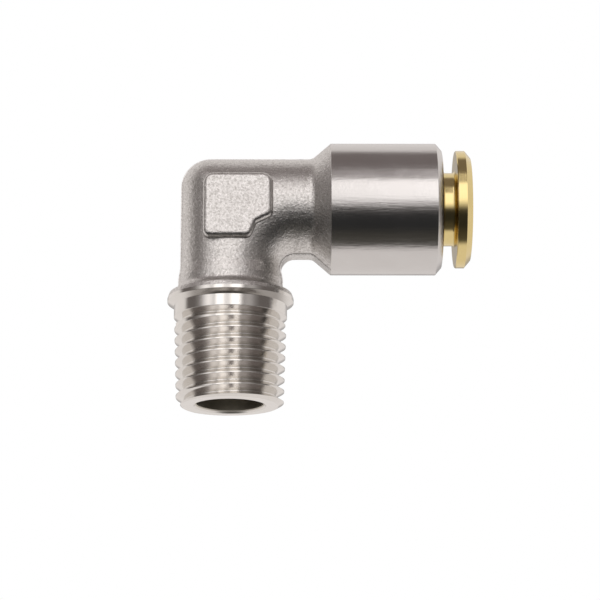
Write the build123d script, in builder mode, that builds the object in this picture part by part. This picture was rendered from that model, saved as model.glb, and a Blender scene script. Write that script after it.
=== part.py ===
from build123d import *

import math
import os

# Push-in elbow fitting: a forged, nickel-plated body with a male taper thread pointing down (-Z) and a
# turned socket pointing along +X, and the brass and steel pieces that hold and seal the tube.
# The origin lies on the thread's axis in the hand-tight gauge plane, where the port's face meets the thread.
# Lengths are millimetres. "x" values are measured from the thread's axis along the socket, "down" values
# from the socket's axis along the thread.

os.makedirs("parts", exist_ok=True)

# Male thread, 1/4-18 taper
thread_pitch = 25.4 / 18
thread_small_diameter = 13.26
thread_taper = 1 / 16
thread_depth = 1.0
thread_root_flat = 0.10
thread_end_down = 25.2
thread_end_chamfer = 0.68
thread_end_chamfer_height = 0.42
thread_cutter_overlap = 0.05
thread_cutter_start_below = 1.2
thread_runout = 0.8
relief_depth = 0.85
relief_root_flat = 0.1
flank_half_angle = 30
front_crest_down = 15.28
gauge_length = 5.79

# Plain land and collar above the thread
land_diameter = 14.02
land_height = 1.42
land_end_down = 14.07
collar_diameter = 15.66
collar_rim_height = 0.46
collar_lower_bevel_height = 0.5
flare_height = 0.5
flare_diameter = 15.24
flare_rim_height = 0.62
flare_fillet = 0.9
flare_edge_round = 0.25

# Forged elbow
knee_diameter = 12.44
shank_end_diameter = 12.92
shank_draft_length = 1.4
outer_corner_radius = 3.75
inner_corner_radius = 1.75
cone_start_x = 10.15
cone_fillet = 1.2
flash_half_width = 1.14
flash_height = 0.02
flash_end_below_sleeve = 0.1

# Raised pads on the knee's two faces
pad_plane = 6.95
pad_left = 3.3
pad_right = 5.3
pad_top = 2.85
pad_bottom = 5.45
pad_notch_x = 3.27
pad_notch_down = 3.57
pad_notch_side_down = 2.56
pad_notch_foot_x = 2.49
pad_top_round = 1.35
pad_low_round = 0.95
pad_notch_round = 0.4
pad_edge_round = 0.65
pad_root_clearance = 0.2

# Turned sleeve
sleeve_diameter = 16.5
sleeve_start_x = 12.45
mouth_x = 26.27
mouth_chamfer_length = 0.74
mouth_chamfer = 0.87

# Tube and the passages through the body
tube_diameter = 6.35
seat_clearance = 0.055
seat_length = 5.0
flow_bore_diameter = 4.8
outlet_bore_diameter = 8.25
outlet_bore_over_axis = 1.5
outlet_chamfer = 0.35
drill_half_angle = 59

# Seal and its groove
seal_cord = 1.95
seal_line_clearance = 0.025
seal_groove_width = 2.15
seal_wall_clearance = 0.01

# Stack in the sleeve's counterbore
counterbore_diameter = 12.6
press_gap = 0.02
support_ring_length = 3.05
support_ring_bore_clearance = 0.125
tooth_room = 0.35
grab_ring_thickness = 0.35
grab_ring_rim_gap = 0.05
grab_ring_rim_inner = 4.9
tooth_count = 10
tooth_slot = 0.5
tooth_slot_root = 4.55

# Retaining ring
ring_front_step = 0.05
ring_dome = 0.34
ring_lip_length = 1.72
ring_pocket_diameter = 10.6

# Release collar
collar_neck_diameter = 9.2
collar_running_clearance = 0.08
collar_bore_clearance = 0.10
collar_back_x = 28.0
flange_diameter = 14.73
flange_rim_length = 1.14
flange_bevel_length = 0.73
flange_bevel = 0.87
flange_edge_break = 0.1
neck_fillet = 0.45
shoulder_diameter = 10.3
shoulder_length = 1.25
shoulder_gap = 0.05
nose_diameter = 8.7
nose_length = 1.8
nose_wall = 0.25
collar_travel = 1.2
nose_gap = 0.1
bore_entry_chamfer = 0.6

# Worked-out radii
knee_radius = knee_diameter / 2
shank_end_radius = shank_end_diameter / 2
sleeve_radius = sleeve_diameter / 2
tube_radius = tube_diameter / 2
seat_radius = tube_radius + seat_clearance
land_radius = land_diameter / 2
outlet_radius = outlet_bore_diameter / 2
counterbore_radius = counterbore_diameter / 2
neck_radius = collar_neck_diameter / 2
collar_bore_radius = tube_radius + collar_bore_clearance
ring_outer_radius = counterbore_radius - press_gap

# Worked-out levels: the socket's axis stands over the origin, everything on the thread hangs below it
axis_z = thread_end_down - gauge_length
thread_end_z = axis_z - thread_end_down
land_end_z = axis_z - land_end_down
land_top_z = land_end_z + land_height
collar_low_z = land_top_z + collar_lower_bevel_height
collar_high_z = collar_low_z + collar_rim_height
flare_top_z = collar_high_z + flare_rim_height
flare_start_z = flare_top_z + flare_height
bend_radius = knee_radius + inner_corner_radius
shank_start_z = axis_z - bend_radius
thread_slope = thread_taper / 2
flank_lean = math.tan(math.radians(flank_half_angle))


def thread_radius(z):
    """Crest radius of the taper thread at a level."""
    return thread_small_diameter / 2 + (z - thread_end_z) * thread_slope


# Stack of seats along the socket, from the mouth inwards; the grab ring's teeth and the collar's nose are
# both 45 degree cones, so a step along the axis equals a step in radius
stack_end_x = mouth_x - ring_front_step
ring_lip_x = stack_end_x + ring_dome - ring_lip_length
shoulder_front_x = ring_lip_x - shoulder_gap
shoulder_back_x = shoulder_front_x - shoulder_length
nose_radius = nose_diameter / 2
nose_start_x = shoulder_back_x - nose_length
nose_tip_radius = collar_bore_radius + nose_wall
nose_tip_x = nose_start_x - (nose_radius - nose_tip_radius)
grab_front_x = nose_start_x + (grab_ring_rim_inner - nose_radius) - collar_travel - nose_gap
grab_back_x = grab_front_x - grab_ring_thickness
tooth_tip_radius = tube_radius + seal_line_clearance
tooth_tip_x = grab_front_x - (grab_ring_rim_inner - tooth_tip_radius)
tooth_step = grab_ring_thickness / math.sqrt(2)
tooth_back_offset = grab_ring_thickness * (math.sqrt(2) - 1)
support_back_x = grab_back_x - support_ring_length
support_bore_radius = tube_radius + support_ring_bore_clearance
recess_radius = grab_ring_rim_inner + tooth_back_offset + tooth_room * math.sqrt(2)
recess_floor_x = grab_back_x - (recess_radius - support_bore_radius)
seal_radius = seal_cord / 2
seal_ring_radius = tube_radius + seal_line_clearance + seal_radius
groove_radius = seal_ring_radius + seal_radius + seal_wall_clearance
groove_back_x = support_back_x - seal_groove_width
tube_stop_x = groove_back_x - seat_length
seal_x = (groove_back_x + support_back_x) / 2

socket_plane = Plane(origin=(0, 0, axis_z), x_dir=(1, 0, 0), z_dir=(0, -1, 0))
socket_axis = Axis((0, 0, axis_z), (1, 0, 0))

# Neck, cone and sleeve: one turned outline about the socket's axis, cut on the knee's mitre
mitre = Plane(origin=(0, 0, axis_z), z_dir=(1, 0, 1))
with BuildPart() as socket_side:
    with BuildSketch(socket_plane) as outline:
        with BuildLine():
            Polyline(
                (-knee_radius, 0),
                (-knee_radius, knee_radius),
                (cone_start_x, knee_radius),
                (sleeve_start_x, sleeve_radius),
                (mouth_x - mouth_chamfer_length, sleeve_radius),
                (mouth_x, sleeve_radius - mouth_chamfer),
                (mouth_x, 0),
                close=True,
            )
        make_face()
        cone_corner = outline.vertices().sort_by_distance((cone_start_x, knee_radius))[0]
        fillet(cone_corner, cone_fillet)
    revolve(axis=socket_axis)
    split(bisect_by=mitre, keep=Keep.TOP)

# Shank, flared collar and the upper half of the plain land: one turned outline about the thread's axis
land_joint_z = (land_top_z + land_end_z) / 2
with BuildPart() as thread_side:
    with BuildSketch(Plane.XZ) as outline:
        with BuildLine():
            Polyline(
                (0, axis_z + knee_radius),
                (knee_radius, axis_z + knee_radius),
                (knee_radius, shank_start_z),
                (shank_end_radius, shank_start_z - shank_draft_length),
                (shank_end_radius, flare_start_z),
                (flare_diameter / 2, flare_top_z),
                (collar_diameter / 2, collar_high_z),
                (collar_diameter / 2, collar_low_z),
                (land_radius, land_top_z),
                (land_radius, land_joint_z),
                (0, land_joint_z),
                close=True,
            )
        make_face()
        flare_corner = outline.vertices().sort_by_distance((shank_end_radius, flare_start_z))[0]
        fillet(flare_corner, flare_fillet)
        flare_edge = outline.vertices().sort_by_distance((flare_diameter / 2, flare_top_z))[0]
        fillet(flare_edge, flare_edge_round)
    revolve(axis=Axis.Z)
    split(bisect_by=mitre, keep=Keep.BOTTOM)

# Outer corner of the knee: a quarter turn of the pipe's rim about an axis along Y
corner_reach = knee_radius - outer_corner_radius
corner_z = axis_z + corner_reach
corner_half_width = math.sqrt(knee_radius**2 - corner_reach**2)
corner_axis = Axis((-corner_reach, 0, corner_z), (0, 1, 0))
with BuildPart() as outer_corner:
    with BuildSketch(Plane(origin=(-corner_reach, 0, corner_z), x_dir=(-1, 0, 0), z_dir=(0, 0, 1))):
        with BuildLine():
            Line((0, -corner_half_width), (0, corner_half_width))
            ThreePointArc((0, corner_half_width), (outer_corner_radius, 0), (0, -corner_half_width))
        make_face()
    revolve(axis=corner_axis, revolution_arc=90)

# Inner corner of the knee: the inner half of a bent pipe
bend_axis = Axis((bend_radius, 0, axis_z - bend_radius), (0, 1, 0))
with BuildPart() as inner_corner:
    with BuildSketch(Plane(origin=(0, 0, axis_z - bend_radius), x_dir=(1, 0, 0), z_dir=(0, 0, 1))):
        with BuildLine():
            Line((0, -knee_radius), (0, knee_radius))
            ThreePointArc((0, knee_radius), (knee_radius, 0), (0, -knee_radius))
        make_face()
    revolve(axis=bend_axis, revolution_arc=90)

# Raised pad with its notched inner corner, made for the front face and mirrored to the back
pad_foot = outlet_radius + pad_root_clearance
with BuildPart() as pad:
    with BuildSketch(Plane(origin=(0, -pad_foot, axis_z), x_dir=(1, 0, 0), z_dir=(0, -1, 0))) as outline:
        with BuildLine():
            Polyline(
                (-pad_left, pad_top),
                (pad_right, pad_top),
                (pad_right, -pad_notch_side_down),
                (pad_notch_x, -pad_notch_down),
                (pad_notch_foot_x, -pad_bottom),
                (-pad_left, -pad_bottom),
                close=True,
            )
        make_face()
        notch_corner = outline.vertices().sort_by_distance((pad_notch_x, -pad_notch_down))[0]
        fillet(notch_corner, pad_notch_round)
        top_corners = outline.vertices().group_by(Axis.Y)[-1]
        fillet(top_corners, pad_top_round)
        foot_corners = outline.vertices().group_by(Axis.Y)[0]
        fillet(foot_corners, pad_low_round)
        side_corner = outline.vertices().sort_by_distance((pad_right, -pad_notch_side_down))[0]
        fillet(side_corner, pad_low_round)
    extrude(amount=pad_plane - pad_foot)
    fillet(pad.faces().sort_by(Axis.Y)[0].edges(), pad_edge_round)

# Trimmed flash along the forging's parting line: a flat-sided web that stands just proud of the elbow's outline
flash_outer = knee_radius + flash_height
flash_outer_round = outer_corner_radius + flash_height
flash_inner_round = inner_corner_radius - flash_height
flash_cone_top = sleeve_radius - flash_end_below_sleeve
cone_slope = (sleeve_radius - knee_radius) / (sleeve_start_x - cone_start_x)
cone_lean = math.atan(cone_slope)
flash_cone_start_x = cone_start_x - flash_height * math.tan(cone_lean / 2)
flash_cone_end_x = flash_cone_start_x + (flash_cone_top - flash_outer) / cone_slope
shank_start_drop = bend_radius + flash_height
shank_end_drop = bend_radius + shank_draft_length
flare_drop = axis_z - flare_start_z
with BuildPart() as flash:
    with BuildSketch(socket_plane) as outline:
        with BuildLine():
            Polyline(
                (-flash_outer, flash_outer),
                (flash_cone_start_x, flash_outer),
                (flash_cone_end_x, flash_cone_top),
                (support_back_x, flash_cone_top),
                (support_back_x, -flash_cone_top),
                (flash_cone_end_x, -flash_cone_top),
                (flash_cone_start_x, -flash_outer),
                (flash_outer, -flash_outer),
                (flash_outer, -shank_start_drop),
                (shank_end_radius + flash_height, -shank_end_drop),
                (shank_end_radius + flash_height, -flare_drop),
                (-shank_end_radius - flash_height, -flare_drop),
                (-shank_end_radius - flash_height, -shank_end_drop),
                (-flash_outer, -shank_start_drop),
                close=True,
            )
        make_face()
        outer_knee = outline.vertices().sort_by_distance((-flash_outer, flash_outer))[0]
        fillet(outer_knee, flash_outer_round)
        inner_knee = outline.vertices().sort_by_distance((flash_outer, -flash_outer))[0]
        fillet(inner_knee, flash_inner_round)
        cone_top_corner = outline.vertices().sort_by_distance((flash_cone_start_x, flash_outer))[0]
        cone_low_corner = outline.vertices().sort_by_distance((flash_cone_start_x, -flash_outer))[0]
        fillet([cone_top_corner, cone_low_corner], cone_fillet - flash_height)
    extrude(amount=flash_half_width, both=True)

# Thread cutter: a V groove on the taper's helix, starting below the thread's end
cutter_start_z = thread_end_z - thread_cutter_start_below
cutter_height = land_end_z - thread_runout - cutter_start_z
cutter_depth = thread_depth + thread_cutter_overlap
cutter_half_root = thread_root_flat / 2
cutter_half_mouth = cutter_half_root + cutter_depth * flank_lean
with BuildPart() as thread_groove:
    with BuildLine() as groove_path:
        Helix(
            pitch=thread_pitch,
            height=cutter_height,
            radius=thread_radius(cutter_start_z) - thread_depth,
            center=(0, 0, cutter_start_z),
            cone_angle=math.degrees(math.atan(thread_slope)),
        )
    with BuildSketch(Plane(origin=groove_path.line @ 0, x_dir=(1, 0, 0), z_dir=groove_path.line % 0)):
        with BuildLine():
            Polyline(
                (0, -cutter_half_root),
                (cutter_depth, -cutter_half_mouth),
                (cutter_depth, cutter_half_mouth),
                (0, cutter_half_root),
                close=True,
            )
        make_face()
    sweep(path=groove_path.line, is_frenet=True)

# Turned relief between the land and the first crest, a V groove of the thread's own angle
relief_rise = relief_depth * flank_lean
relief_root_radius = thread_radius(land_end_z) - relief_depth
relief_mouth_radius = relief_root_radius + 2 * relief_depth
relief_root_top_z = land_end_z - (land_radius - relief_root_radius) * flank_lean
relief_root_low_z = relief_root_top_z - relief_root_flat
with BuildPart() as thread_relief:
    with BuildSketch(Plane.XZ):
        with BuildLine():
            Polyline(
                (relief_root_radius, relief_root_low_z),
                (relief_mouth_radius, relief_root_low_z - 2 * relief_rise),
                (relief_mouth_radius, relief_root_top_z + 2 * relief_rise),
                (relief_root_radius, relief_root_top_z),
                close=True,
            )
        make_face()
    revolve(axis=Axis.Z)

# Threaded end: the tapered blank with the lower half of the land, cut by the groove
chamfer_top_z = thread_end_z + thread_end_chamfer_height
with BuildPart() as threaded_end:
    with BuildSketch(Plane.XZ):
        with BuildLine():
            Polyline(
                (0, land_joint_z),
                (land_radius, land_joint_z),
                (land_radius, land_end_z),
                (thread_radius(land_end_z), land_end_z),
                (thread_radius(chamfer_top_z), chamfer_top_z),
                (thread_radius(thread_end_z) - thread_end_chamfer, thread_end_z),
                (0, thread_end_z),
                close=True,
            )
        make_face()
    revolve(axis=Axis.Z)
    add(thread_groove.part, mode=Mode.SUBTRACT)
    add(thread_relief.part, mode=Mode.SUBTRACT)

# The groove starts on the +X side, so the threaded end is turned until a crest stands on the front at its level
front_crest_z = axis_z - front_crest_down
front_angle = -90
half_turn = 180
crest_turn = (cutter_start_z - front_crest_z) / thread_pitch * 360 + half_turn + front_angle

# Outlet bore up the thread, with its drill point over the socket's axis
drill_top_z = axis_z + outlet_bore_over_axis
with BuildPart() as outlet_bore:
    with BuildSketch(Plane.XZ):
        with BuildLine():
            Polyline(
                (0, thread_end_z - outlet_chamfer),
                (outlet_radius + 2 * outlet_chamfer, thread_end_z - outlet_chamfer),
                (outlet_radius, thread_end_z + outlet_chamfer),
                (outlet_radius, drill_top_z),
                (0, drill_top_z + outlet_radius / math.tan(math.radians(drill_half_angle))),
                close=True,
            )
        make_face()
    revolve(axis=Axis.Z)

# Socket bores: counterbore for the rings, seal groove, tube seat and flow bore
with BuildPart() as socket_bore:
    with BuildSketch(socket_plane):
        with BuildLine():
            Polyline(
                (0, 0),
                (0, flow_bore_diameter / 2),
                (tube_stop_x, flow_bore_diameter / 2),
                (tube_stop_x, seat_radius),
                (groove_back_x, seat_radius),
                (groove_back_x, groove_radius),
                (support_back_x, groove_radius),
                (support_back_x, counterbore_radius),
                (mouth_x, counterbore_radius),
                (mouth_x, 0),
                close=True,
            )
        make_face()
    revolve(axis=socket_axis)

corner_box = 2 * knee_radius
with BuildPart() as elbow_body:
    add(socket_side.part)
    add(thread_side.part)
    with Locations((-corner_reach - corner_box / 2, 0, corner_z + corner_box / 2)):
        Box(corner_box, corner_box, corner_box, mode=Mode.SUBTRACT)
    add(outer_corner.part)
    add(inner_corner.part)
    add(pad.part)
    add(mirror(pad.part, about=Plane.XZ, mode=Mode.PRIVATE))
    add(flash.part)
    add(threaded_end.part, rotation=(0, 0, crest_turn))
    add(outlet_bore.part, mode=Mode.SUBTRACT)
    add(socket_bore.part, mode=Mode.SUBTRACT)
elbow_body.part.label = "elbow_body"
export_step(elbow_body.part, "parts/elbow_body.step")

# Retaining ring: a pocket for the collar's shoulder behind the lip that keeps the collar in
ring_lip_radius = neck_radius + collar_running_clearance
with BuildPart() as retaining_ring:
    with BuildSketch(socket_plane):
        with BuildLine():
            Polyline(
                (grab_front_x, ring_pocket_diameter / 2),
                (ring_lip_x, ring_pocket_diameter / 2),
                (ring_lip_x, ring_lip_radius),
                (stack_end_x + ring_dome, ring_lip_radius),
                (stack_end_x, ring_outer_radius),
                (grab_front_x, ring_outer_radius),
                close=True,
            )
        make_face()
    revolve(axis=socket_axis)
retaining_ring.part.label = "retaining_ring"
export_step(retaining_ring.part, "parts/retaining_ring.step")

# Grab ring: a flat rim and a cone of slit teeth that lean into the socket
with BuildPart() as grab_ring:
    with BuildSketch(socket_plane):
        with BuildLine():
            Polyline(
                (grab_front_x, counterbore_radius - grab_ring_rim_gap),
                (grab_front_x, grab_ring_rim_inner),
                (tooth_tip_x, tooth_tip_radius),
                (tooth_tip_x - tooth_step, tooth_tip_radius + tooth_step),
                (grab_back_x, grab_ring_rim_inner + tooth_back_offset),
                (grab_back_x, counterbore_radius - grab_ring_rim_gap),
                close=True,
            )
        make_face()
    revolve(axis=socket_axis)
    with BuildSketch(Plane(origin=(recess_floor_x, 0, axis_z), x_dir=(0, 1, 0), z_dir=(1, 0, 0))):
        with PolarLocations(tooth_slot_root / 2, tooth_count):
            Rectangle(tooth_slot_root, tooth_slot)
    extrude(amount=grab_front_x - recess_floor_x, mode=Mode.SUBTRACT)
grab_ring.part.label = "grab_ring"
export_step(grab_ring.part, "parts/grab_ring.step")

# Support ring: carries the grab ring's rim, leaves room for the teeth and closes the seal groove
with BuildPart() as support_ring:
    with BuildSketch(socket_plane):
        with BuildLine():
            Polyline(
                (support_back_x, support_bore_radius),
                (recess_floor_x, support_bore_radius),
                (grab_back_x, recess_radius),
                (grab_back_x, ring_outer_radius),
                (support_back_x, ring_outer_radius),
                close=True,
            )
        make_face()
    revolve(axis=socket_axis)
support_ring.part.label = "support_ring"
export_step(support_ring.part, "parts/support_ring.step")

# Seal ring in its groove
with BuildPart() as o_ring:
    with BuildSketch(socket_plane):
        with Locations((seal_x, seal_ring_radius)):
            Circle(seal_radius)
    revolve(axis=socket_axis)
o_ring.part.label = "o_ring"
export_step(o_ring.part, "parts/o_ring.step")

# Release collar: flange and neck outside, shoulder and conical nose inside, bored for the tube
flange_radius = flange_diameter / 2
flange_bevel_x = collar_back_x + flange_rim_length
collar_face_x = flange_bevel_x + flange_bevel_length
with BuildPart() as release_collar:
    with BuildSketch(socket_plane) as outline:
        with BuildLine():
            Polyline(
                (nose_tip_x, collar_bore_radius),
                (nose_tip_x, nose_tip_radius),
                (nose_start_x, nose_radius),
                (shoulder_back_x, nose_radius),
                (shoulder_back_x, shoulder_diameter / 2),
                (shoulder_front_x, shoulder_diameter / 2),
                (shoulder_front_x, neck_radius),
                (collar_back_x, neck_radius),
                (collar_back_x, flange_radius),
                (flange_bevel_x, flange_radius),
                (collar_face_x, flange_radius - flange_bevel),
                (collar_face_x, collar_bore_radius + bore_entry_chamfer),
                (collar_face_x - bore_entry_chamfer, collar_bore_radius),
                close=True,
            )
        make_face()
        neck_corner = outline.vertices().sort_by_distance((collar_back_x, neck_radius))[0]
        fillet(neck_corner, neck_fillet)
        rim_corner = outline.vertices().sort_by_distance((collar_back_x, flange_radius))[0]
        chamfer(rim_corner, flange_edge_break)
    revolve(axis=socket_axis)
release_collar.part.label = "release_collar"
export_step(release_collar.part, "parts/release_collar.step")
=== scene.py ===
"""Looks of the push-in elbow fitting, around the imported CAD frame. Lengths are metres, written as millimetres
times MM. Angles round the object are degrees."""

import math

import bmesh
import bpy
from mathutils import Matrix, Vector

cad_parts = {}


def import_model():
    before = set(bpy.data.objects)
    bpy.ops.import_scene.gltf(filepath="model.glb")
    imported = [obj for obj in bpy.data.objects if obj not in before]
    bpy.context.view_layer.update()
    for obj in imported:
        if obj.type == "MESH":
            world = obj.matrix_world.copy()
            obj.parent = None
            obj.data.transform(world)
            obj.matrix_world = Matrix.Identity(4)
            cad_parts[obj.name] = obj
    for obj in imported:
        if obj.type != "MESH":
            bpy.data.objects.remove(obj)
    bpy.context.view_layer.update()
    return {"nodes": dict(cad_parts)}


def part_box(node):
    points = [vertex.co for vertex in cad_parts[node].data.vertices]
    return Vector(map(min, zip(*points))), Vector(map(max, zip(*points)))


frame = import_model()

MM = 0.001

# Places on the body, from the frame
COLLAR_LOW, COLLAR_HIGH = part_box("release_collar")
SOCKET_AXIS_Z = (COLLAR_LOW[2] + COLLAR_HIGH[2]) / 2
SOCKET_MOUTH_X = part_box("elbow_body")[1][0]

# Where its finish changes, and where shade is painted under the rim. Names with UP are heights over the
# socket's axis. The thread's axis is x = y = 0.
SLEEVE_START_X = 12.45 * MM
RIM_TOP_Z = SOCKET_AXIS_Z - 11.69 * MM
SOCKET_BORE_REACH = 5.25 * MM
OUTLET_BORE_REACH = 4.25 * MM
OUTLET_BORE_TOP_UP = 4.4 * MM
# Painted shade: the band under the rim whose colour is darkened, by height over the socket's axis and across x
PAINTED_SHADE_UNDER_RIM_UP = (-12.67 * MM, -12.12 * MM)
PAINTED_SHADE_UNDER_RIM_X = (-5 * MM, 6.5 * MM)
EDGE_ROUNDING = 0.05 * MM

# Camera, from a fit of the part's known sizes to outlines in the photograph
CAMERA_LENS = 143.44
CAMERA_SENSOR = 36
CAMERA_PLACE = Vector((7.512 * MM, -287.495 * MM, -66.567 * MM))
CAMERA_AZIMUTH = math.radians(0.2211)
CAMERA_ELEVATION = math.radians(14.4834)

# The stage
OBJECT_CENTRE = Vector((12 * MM, 0, 11 * MM))
SHELL_RADIUS = 700 * MM
FLOOR_Z = -75 * MM
FLOOR_HALF_SIZE = 1500 * MM

# Colours, where a pair goes from dull to bright
FORGED = (0.52, 0.498, 0.475, 1), (0.74, 0.72, 0.70, 1)
SLEEVE = (0.62, 0.60, 0.585, 1), (0.69, 0.672, 0.66, 1)
THREAD = (0.72, 0.70, 0.67, 1), (0.80, 0.775, 0.74, 1)
# Painted shade: the dark colour of the band under the rim
PAINTED_SHADE_UNDER_RIM = (0.25, 0.23, 0.21, 1)
# Painted shade: the bores' colour is darkened for the shade inside them
BORE_PAINTED_SHADE = (0.60, 0.57, 0.50, 1)
BRASS = (0.72, 0.58, 0.25, 1), (0.82, 0.67, 0.34, 1)
BACKDROP = (0.44, 0.42, 0.41, 1), (0.86, 0.82, 0.80, 1)
LAMP_TINT = (1.0, 0.975, 0.97)

# Levels of the softbox by azimuth from the lens
SOFTBOX_STOPS = (
    (-76, 0.0),
    (-66, 0.1),
    (-59, 0.33),
    (-52, 0.74),
    (-45, 1.02),
    (-38, 0.88),
    (-33.5, 0.6),
    (-31, 0.7),
    (-27.5, 1.42),
    (-15, 1.42),
    (-10.5, 0.8),
    (-1.5, 0.8),
    (2.5, 1.42),
    (18.5, 1.42),
    (22.5, 0.45),
    (27, 0.19),
    (35, 0.3),
    (42, 0.28),
    (50, 0.12),
    (62, 0.0),
)
# A colour ramp holds levels up to 1, so they go into it as shares of this one
SOFTBOX_TOP_LEVEL = 2.0

# Colours of the dark room in front, by elevation from its floor to its ceiling
ROOM_STOPS = (
    (-90, (0.13, 0.12, 0.11)),
    (-73, (0.085, 0.08, 0.07)),
    (-60, (0.062, 0.058, 0.05)),
    (-47, (0.03, 0.03, 0.03)),
    (-24, (0.03, 0.03, 0.03)),
    (-8, (0.12, 0.11, 0.105)),
    (20, (0.15, 0.132, 0.125)),
    (45, (0.198, 0.17, 0.166)),
    (90, (0.21, 0.18, 0.174)),
)


def grey(value):
    return (value, value, value, 1.0)


class Shader:
    """Short calls for building one node tree."""

    def __init__(self, tree):
        self.tree = tree

    def node(self, kind, **settings):
        made = self.tree.nodes.new(kind)
        for name, value in settings.items():
            setattr(made, name, value)
        return made

    def plug(self, target, value):
        if isinstance(value, bpy.types.NodeSocket):
            self.tree.links.new(value, target)
        else:
            target.default_value = value

    def math(self, operation, first, second=0.0):
        made = self.node("ShaderNodeMath", operation=operation)
        self.plug(made.inputs[0], first)
        self.plug(made.inputs[1], second)
        return made.outputs[0]

    def plus(self, first, second):
        return self.math("ADD", first, second)

    def minus(self, first, second):
        return self.math("SUBTRACT", first, second)

    def times(self, first, second):
        return self.math("MULTIPLY", first, second)

    def larger(self, first, second):
        return self.math("MAXIMUM", first, second)

    def step(self, value, low, high, start=0.0, end=1.0, kind="SMOOTHSTEP"):
        """Change from start to end while a value rises from low to high."""
        made = self.node("ShaderNodeMapRange", interpolation_type=kind)
        self.plug(made.inputs["Value"], value)
        made.inputs["From Min"].default_value = low
        made.inputs["From Max"].default_value = high
        made.inputs["To Min"].default_value = start
        made.inputs["To Max"].default_value = end
        return made.outputs["Result"]

    def above(self, value, limit, soft):
        return self.step(value, limit - soft, limit + soft)

    def below(self, value, limit, soft):
        return self.step(value, limit - soft, limit + soft, 1.0, 0.0)

    def between(self, value, limits, soft):
        return self.times(self.above(value, limits[0], soft), self.below(value, limits[1], soft))

    def mix(self, factor, first, second):
        """Mix of two colours."""
        made = self.node("ShaderNodeMix", data_type="RGBA")
        self.plug(made.inputs["Factor"], factor)
        self.plug(made.inputs[6], first)
        self.plug(made.inputs[7], second)
        return made.outputs[2]

    def blend(self, factor, first, second):
        """Mix of two numbers."""
        made = self.node("ShaderNodeMix", data_type="FLOAT")
        self.plug(made.inputs["Factor"], factor)
        self.plug(made.inputs[2], first)
        self.plug(made.inputs[3], second)
        return made.outputs[0]

    def mix_shaders(self, factor, first, second):
        made = self.node("ShaderNodeMixShader")
        self.plug(made.inputs[0], factor)
        self.plug(made.inputs[1], first)
        self.plug(made.inputs[2], second)
        return made.outputs[0]

    def noise(self, place, scale, detail=2.0, roughness=0.5, distortion=0.0):
        made = self.node("ShaderNodeTexNoise")
        self.plug(made.inputs["Vector"], place)
        made.inputs["Scale"].default_value = scale
        made.inputs["Detail"].default_value = detail
        made.inputs["Roughness"].default_value = roughness
        made.inputs["Distortion"].default_value = distortion
        return made.outputs["Fac"]

    def ramp_of_degrees(self, angle, stops):
        """Colour by an angle from -90 to 90 degrees."""
        made = self.node("ShaderNodeValToRGB")
        points = made.color_ramp.elements
        while len(points) < len(stops):
            points.new(1.0)
        for point, (degrees, colour) in zip(points, stops):
            point.position = (degrees + 90) / 180
            point.color = colour
        self.plug(made.inputs["Fac"], self.step(angle, -90, 90, kind="LINEAR"))
        return made.outputs["Color"]

    def place(self):
        """The point's place in its object's frame, as a vector and as its three parts."""
        vector = self.node("ShaderNodeTexCoord").outputs["Object"]
        parts = self.node("ShaderNodeSeparateXYZ")
        self.plug(parts.inputs[0], vector)
        return vector, *parts.outputs

    def vector(self, x, y, z):
        made = self.node("ShaderNodeCombineXYZ")
        self.plug(made.inputs[0], x)
        self.plug(made.inputs[1], y)
        self.plug(made.inputs[2], z)
        return made.outputs[0]

    def length(self, first, second):
        """Distance from an axis, from the two offsets across it."""
        return self.math("SQRT", self.plus(self.times(first, first), self.times(second, second)))

    def bump(self, height, distance, strength=1.0, normal=None):
        made = self.node("ShaderNodeBump")
        self.plug(made.inputs["Height"], height)
        made.inputs["Distance"].default_value = distance
        made.inputs["Strength"].default_value = strength
        if normal is not None:
            self.plug(made.inputs["Normal"], normal)
        return made.outputs["Normal"]

    def surface(self, colour, roughness, normal=None, metallic=0.0):
        made = self.node("ShaderNodeBsdfPrincipled")
        self.plug(made.inputs["Base Color"], colour)
        self.plug(made.inputs["Roughness"], roughness)
        made.inputs["Metallic"].default_value = metallic
        if normal is not None:
            self.plug(made.inputs["Normal"], normal)
        return made

    def metal(self, colour, roughness, normal):
        return self.surface(colour, roughness, normal, metallic=1.0).outputs["BSDF"]

    def close(self, kind, surface):
        self.plug(self.node(kind).inputs["Surface"], surface)


def new_material(name):
    made = bpy.data.materials.new(name)
    made.use_nodes = True
    made.node_tree.nodes.clear()
    return made, Shader(made.node_tree)


def forged_metal(s, place, rounded):
    """Blasted forging: crumpled fine grain, dull in its hollows, coarser pits and slow unevenness."""
    grain = s.noise(place, scale=3700, detail=3.0, roughness=0.62, distortion=0.2)
    pits = s.noise(place, scale=1700)
    slow = s.noise(place, scale=330)
    skin = s.plus(s.plus(s.times(grain, 0.9), s.times(pits, 0.5)), s.times(slow, 0.8))
    normal = s.bump(skin, distance=0.06 * MM, normal=rounded)
    rough = s.blend(s.step(grain, 0.35, 0.65), 0.38, 0.27)
    return s.metal(s.mix(s.step(grain, 0.28, 0.60), *FORGED), rough, normal)


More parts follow.
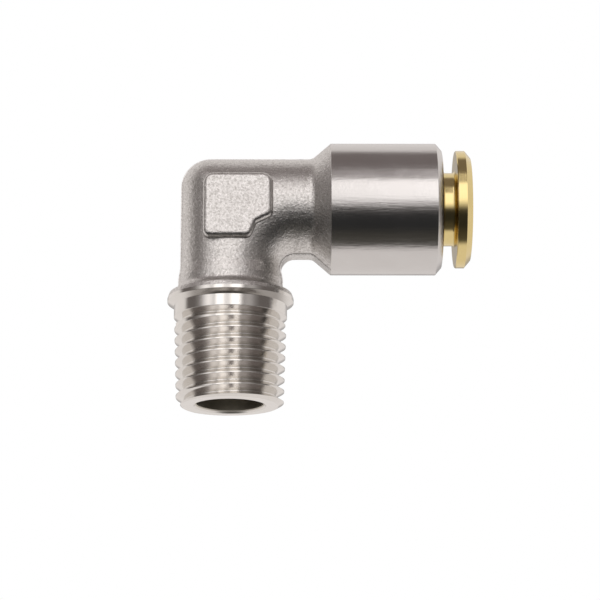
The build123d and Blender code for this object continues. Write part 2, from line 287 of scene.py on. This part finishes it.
def turned_metal(s, rounded, on_thread, bores, painted_shade_under_rim):
    """Turned surfaces: fine rings round the tool's axis, streaks along the sleeve and scattered specks."""
    place, x, y, z = s.place()
    rings_per_metre = 9000
    socket_rings = s.noise(s.vector(s.times(x, rings_per_metre), 0.0, 0.0), scale=1.0, roughness=0.6)
    thread_rings = s.noise(s.vector(s.times(z, rings_per_metre), 0.0, 0.0), scale=1.0, roughness=0.6)
    rings = s.blend(on_thread, socket_rings, thread_rings)
    smear = s.noise(place, scale=260, detail=3.0, roughness=0.6)
    long_and_thin = s.vector(s.times(x, 350), s.times(y, 3600), s.times(z, 3600))
    streaks = s.noise(long_and_thin, scale=1.0)
    specks = s.times(s.noise(place, scale=3600, roughness=0.6), s.step(smear, 0.45, 0.6))
    scuffs = s.plus(s.times(streaks, 2.2), s.times(specks, 1.8))
    scuffs = s.times(scuffs, s.blend(on_thread, 1.0, 0.25))
    worn = s.bump(scuffs, distance=0.006 * MM, strength=0.8, normal=rounded)
    normal = s.bump(rings, distance=0.006 * MM, strength=0.35, normal=worn)
    rough = s.blend(on_thread, s.blend(smear, 0.17, 0.23), s.blend(smear, 0.11, 0.19))
    rough = s.blend(bores, rough, 0.45)
    colour = s.mix(on_thread, s.mix(smear, *SLEEVE), s.mix(smear, *THREAD))
    # Painted shade: the band under the rim is darkened towards a dark colour
    colour = s.mix(s.times(painted_shade_under_rim, 0.8), colour, PAINTED_SHADE_UNDER_RIM)
    # The bores get a darker colour, which is painted shade, as well as their higher roughness
    return s.metal(s.mix(bores, colour, BORE_PAINTED_SHADE), rough, normal)


def nickel_material():
    """Nickel plate: blasted satin on the forging, turned on the sleeve, rim, land, thread and bores."""
    made, s = new_material("nickel_plate")
    place, x, y, z = s.place()
    up = s.minus(z, SOCKET_AXIS_Z)
    bevel = s.node("ShaderNodeBevel", samples=6)
    bevel.inputs["Radius"].default_value = EDGE_ROUNDING
    rounded = bevel.outputs["Normal"]

    # Where a tool has turned the forging
    sleeve = s.above(x, SLEEVE_START_X - 0.015 * MM, soft=0.035 * MM)
    threaded = s.below(z, RIM_TOP_Z, soft=0.03 * MM)
    inside_socket = s.between(x, (0.05 * MM, SOCKET_MOUTH_X - 0.12 * MM), soft=0.05 * MM)
    socket_bore = s.times(s.below(s.length(y, up), SOCKET_BORE_REACH, soft=0.05 * MM), inside_socket)
    below_knee = s.below(up, OUTLET_BORE_TOP_UP, soft=0.1 * MM)
    outlet_bore = s.times(s.below(s.length(x, y), OUTLET_BORE_REACH, soft=0.05 * MM), below_knee)
    bores = s.larger(socket_bore, outlet_bore)
    turned = s.larger(s.larger(sleeve, threaded), bores)
    on_thread = s.larger(threaded, outlet_bore)
    # Painted shade: the mask of the band under the rim, across the front
    painted_shade_under_rim = s.times(s.between(up, PAINTED_SHADE_UNDER_RIM_UP, soft=0.04 * MM), s.between(x, PAINTED_SHADE_UNDER_RIM_X, soft=MM))

    forged = forged_metal(s, place, rounded)
    bright = turned_metal(s, rounded, on_thread, bores, painted_shade_under_rim)
    s.close("ShaderNodeOutputMaterial", s.mix_shaders(turned, forged, bright))
    return made


def brass_material():
    """Turned brass with fine rings round the socket's axis and slight tarnish."""
    made, s = new_material("turned_brass")
    place, x, y, z = s.place()
    from_axis = s.length(y, s.minus(z, SOCKET_AXIS_Z))
    rings_per_metre = 11000
    along = s.vector(s.times(x, rings_per_metre), s.times(from_axis, rings_per_metre), 0.0)
    rings = s.noise(along, scale=1.0, roughness=0.6)
    tarnish = s.noise(place, scale=420, detail=3.0, roughness=0.6)
    normal = s.bump(rings, distance=0.005 * MM, strength=0.4)
    rough = s.blend(tarnish, 0.10, 0.20)
    s.close("ShaderNodeOutputMaterial", s.metal(s.mix(tarnish, *BRASS), rough, normal))
    return made


def steel_material():
    """Stamped spring strip with faint rolling lines."""
    made, s = new_material("spring_steel")
    y, z = s.place()[2:]
    across_strip = s.vector(s.times(y, 7000), s.times(z, 600), 0.0)
    lines = s.noise(across_strip, scale=1.0, roughness=0.6)
    normal = s.bump(lines, distance=0.004 * MM, strength=0.4)
    rough = s.blend(lines, 0.18, 0.30)
    s.close("ShaderNodeOutputMaterial", s.metal(s.mix(lines, grey(0.52), grey(0.60)), rough, normal))
    return made


def rubber_material():
    """Smooth black seal rubber with a faint moulding bloom."""
    made, s = new_material("seal_rubber")
    place = s.place()[0]
    bloom = s.noise(place, scale=900, detail=3.0, roughness=0.6)
    colour = s.mix(bloom, grey(0.012), grey(0.03))
    normal = s.bump(bloom, distance=0.01 * MM, strength=0.3)
    rubber = s.surface(colour, s.blend(bloom, 0.42, 0.6), normal)
    s.close("ShaderNodeOutputMaterial", rubber.outputs["BSDF"])
    return made


def dress_nodes():
    nickel = nickel_material()
    brass = brass_material()
    finish = {
        "elbow_body": nickel,
        "release_collar": brass,
        "retaining_ring": brass,
        "support_ring": brass,
        "grab_ring": steel_material(),
        "o_ring": rubber_material(),
    }
    for node_name, material in finish.items():
        for material_slot in frame["nodes"][node_name].material_slots:
            material_slot.material = material


def new_object(name, form, material):
    mesh = bpy.data.meshes.new(name)
    form.to_mesh(mesh)
    form.free()
    mesh.materials.append(material)
    made = bpy.data.objects.new(name, mesh)
    bpy.context.scene.collection.objects.link(made)
    return made


def softbox_light(s, azimuth, elevation, front):
    """The softbox in front, whose top is lower just over the lens than at its two sides."""
    stops = [(degrees, grey(level / SOFTBOX_TOP_LEVEL)) for degrees, level in SOFTBOX_STOPS]
    levels = s.times(s.ramp_of_degrees(azimuth, stops), SOFTBOX_TOP_LEVEL)
    over_lens = s.between(azimuth, (-5.5, 9.5), soft=2.0)
    above_sides = s.blend(over_lens, 20.0, 0.0)
    under_top = s.below(s.minus(elevation, above_sides), 38, soft=3)
    lamp = s.times(levels, s.times(s.above(elevation, -4, soft=13), under_top))
    return s.times(lamp, s.step(front, 0.0, 0.1))


def studio_material():
    """Light that the metal reflects: a dark room with a softbox in front, and the pale backdrop behind."""
    made, s = new_material("studio_shell")
    x, y, z = s.place()[1:]
    front = s.times(y, -1.0)
    azimuth = s.math("DEGREES", s.math("ARCTAN2", x, front))
    elevation = s.math("DEGREES", s.math("ARCSINE", z))
    room = s.ramp_of_degrees(elevation, [(degrees, (*colour, 1)) for degrees, colour in ROOM_STOPS])
    lamp = softbox_light(s, azimuth, elevation, front)
    total = s.node("ShaderNodeMix", data_type="RGBA", blend_type="ADD")
    total.inputs["Factor"].default_value = 1.0
    s.plug(total.inputs[6], room)
    s.plug(total.inputs[7], s.vector(*(s.times(lamp, share) for share in LAMP_TINT)))

    # The backdrop starts nearer the lens below and on the right. It is dim straight behind the object and
    # over it.
    edge = s.plus(front, s.minus(s.times(z, 0.165), s.times(x, 0.06)))
    behind = s.below(edge, -0.08, soft=0.12)
    middle = s.times(s.step(front, -0.97, -0.78, 1.0, 0.0), s.step(z, -0.2, -0.02))
    dim, pale = BACKDROP
    glow = s.node("ShaderNodeEmission")
    s.plug(glow.inputs["Color"], s.mix(behind, total.outputs[2], s.mix(middle, pale, dim)))
    s.close("ShaderNodeOutputMaterial", glow.outputs[0])
    return made


def studio_shell():
    """A sphere round the object, which reflections see and the camera doesn't."""
    form = bmesh.new()
    bmesh.ops.create_uvsphere(form, u_segments=128, v_segments=96, radius=1.0)
    shell = new_object("studio_shell", form, studio_material())
    shell.location = OBJECT_CENTRE
    shell.scale = (SHELL_RADIUS, SHELL_RADIUS, SHELL_RADIUS)
    shell.visible_camera = False
    shell.visible_diffuse = False
    shell.visible_shadow = False


def floor_material():
    made, s = new_material("pale_floor")
    mottle = s.noise(s.place()[0], scale=40, detail=3.0)
    matt = s.surface(s.mix(mottle, grey(0.93), grey(0.96)), 0.9)
    matt.inputs["Specular IOR Level"].default_value = 0.1
    s.close("ShaderNodeOutputMaterial", matt.outputs["BSDF"])
    return made


def floor():
    """A pale floor below the camera, which looks up at the fitting. Reflections don't show it."""
    form = bmesh.new()
    bmesh.ops.create_grid(form, x_segments=8, y_segments=8, size=FLOOR_HALF_SIZE)
    ground = new_object("floor", form, floor_material())
    ground.location = (OBJECT_CENTRE.x, 0, FLOOR_Z)
    ground.visible_glossy = False


def world():
    """White to the camera and to reflections; a plain soft light for what isn't metal."""
    made = bpy.data.worlds.new("studio")
    made.use_nodes = True
    made.node_tree.nodes.clear()
    s = Shader(made.node_tree)
    path = s.node("ShaderNodeLightPath")
    seen = s.larger(path.outputs["Is Camera Ray"], path.outputs["Is Glossy Ray"])
    seen = s.larger(seen, path.outputs["Is Transmission Ray"])
    light = s.node("ShaderNodeBackground")
    light.inputs["Color"].default_value = grey(0.85)
    white = s.node("ShaderNodeBackground")
    white.inputs["Color"].default_value = grey(1.0)
    s.close("ShaderNodeOutputWorld", s.mix_shaders(seen, light.outputs[0], white.outputs[0]))
    bpy.context.scene.world = made


def camera():
    data = bpy.data.cameras.new("camera")
    data.lens = CAMERA_LENS
    data.sensor_width = CAMERA_SENSOR
    data.clip_start = 0.01
    data.clip_end = 10
    made = bpy.data.objects.new("camera", data)
    bpy.context.scene.collection.objects.link(made)
    level = math.cos(CAMERA_ELEVATION)
    ahead = math.cos(CAMERA_AZIMUTH) * level
    aside = math.sin(CAMERA_AZIMUTH) * level
    forward = Vector((aside, ahead, math.sin(CAMERA_ELEVATION)))
    turn = forward.to_track_quat("-Z", "Y").to_matrix().to_4x4()
    made.matrix_world = Matrix.Translation(CAMERA_PLACE) @ turn
    bpy.context.scene.camera = made


dress_nodes()
studio_shell()
floor()
world()
camera()
bpy.context.scene.view_settings.view_transform = "Standard"
